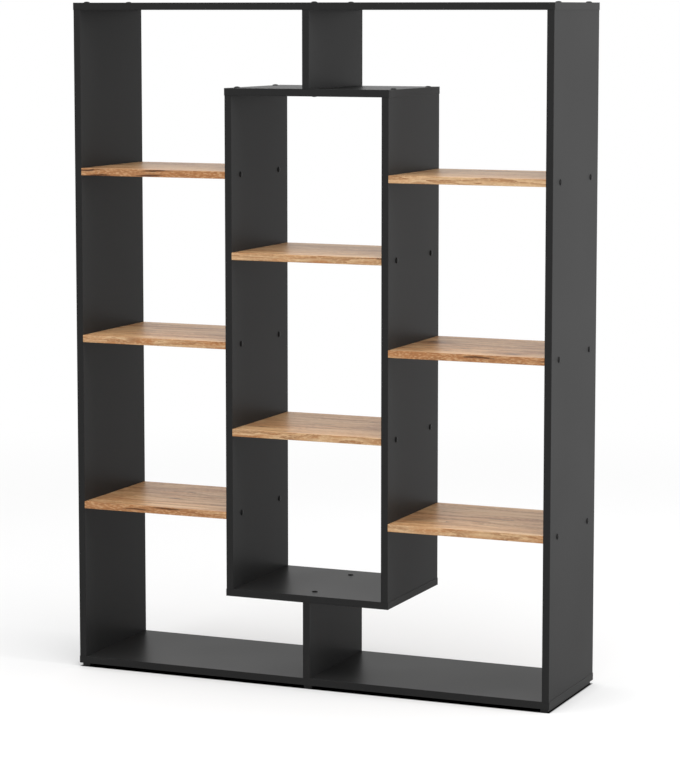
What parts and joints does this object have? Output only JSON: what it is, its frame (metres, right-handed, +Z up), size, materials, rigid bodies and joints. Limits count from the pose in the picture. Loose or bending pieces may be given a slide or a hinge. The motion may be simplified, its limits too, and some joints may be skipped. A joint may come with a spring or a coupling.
{
  "type": "room divider bookcase",
  "caption": "Free-standing open room divider bookcase: a dark laminated carcass round a central tower carried on posts, with oak-faced shelves screwed between its panels.",
  "frame": {"origin": "on the floor, in the middle of the footprint", "axes": "+X to the right seen from the front, +Y to the back, +Z up"},
  "size_m": [1.125, 0.298, 1.4965],
  "materials": {
    "anthracite_board": "particle board with a dark anthracite satin melamine face",
    "oak_board": "particle board with a golden knotty oak melamine face, grain along the shelf",
    "anthracite_banding": "satin plastic edge banding",
    "oak_banding": "satin plastic edge banding printed with oak grain",
    "cap_plastic": "moulded black plastic",
    "glide_plastic": "extruded dark grey plastic",
    "screw_steel": "bright zinc plated steel"
  },
  "bodies": {
    "root": {"bottom_panel": "anthracite_board", "bottom_panel_edge_bands": "anthracite_banding", "bottom_panel_end_bands": "anthracite_banding", "bottom_panel_screws": "screw_steel", "glide_strip_screws": "screw_steel", "left_glide_strip": "glide_plastic", "left_shelf_edge_bands": "oak_banding", "left_shelf_lower": "oak_board", "left_shelf_middle": "oak_board", "left_shelf_upper": "oak_board", "left_side_panel": "anthracite_board", "left_side_panel_caps": "cap_plastic", "left_side_panel_edge_bands": "anthracite_banding", "left_side_panel_screws": "screw_steel", "lower_post": "anthracite_board", "lower_post_edge_bands": "anthracite_banding", "middle_glide_strip": "glide_plastic", "right_glide_strip": "glide_plastic", "right_shelf_edge_bands": "oak_banding", "right_shelf_lower": "oak_board", "right_shelf_middle": "oak_board", "right_shelf_upper": "oak_board", "right_side_panel": "anthracite_board", "right_side_panel_caps": "cap_plastic", "right_side_panel_edge_bands": "anthracite_banding", "right_side_panel_screws": "screw_steel", "top_panel": "anthracite_board", "top_panel_caps": "cap_plastic", "top_panel_edge_bands": "anthracite_banding", "top_panel_end_bands": "anthracite_banding", "top_panel_screws": "screw_steel", "tower_floor_panel": "anthracite_board", "tower_floor_panel_caps": "cap_plastic", "tower_floor_panel_edge_bands": "anthracite_banding", "tower_floor_panel_end_bands": "anthracite_banding", "tower_floor_panel_screws": "screw_steel", "tower_left_panel": "anthracite_board", "tower_left_panel_caps": "cap_plastic", "tower_left_panel_edge_bands": "anthracite_banding", "tower_left_panel_screws": "screw_steel", "tower_right_panel": "anthracite_board", "tower_right_panel_caps": "cap_plastic", "tower_right_panel_edge_bands": "anthracite_banding", "tower_right_panel_screws": "screw_steel", "tower_shelf_edge_bands": "oak_banding", "tower_shelf_lower": "oak_board", "tower_shelf_upper": "oak_board", "tower_top_panel": "anthracite_board", "tower_top_panel_caps": "cap_plastic", "tower_top_panel_edge_bands": "anthracite_banding", "tower_top_panel_end_bands": "anthracite_banding", "tower_top_panel_screws": "screw_steel", "upper_post": "anthracite_board", "upper_post_edge_bands": "anthracite_banding"}
  },
  "joints": []
}
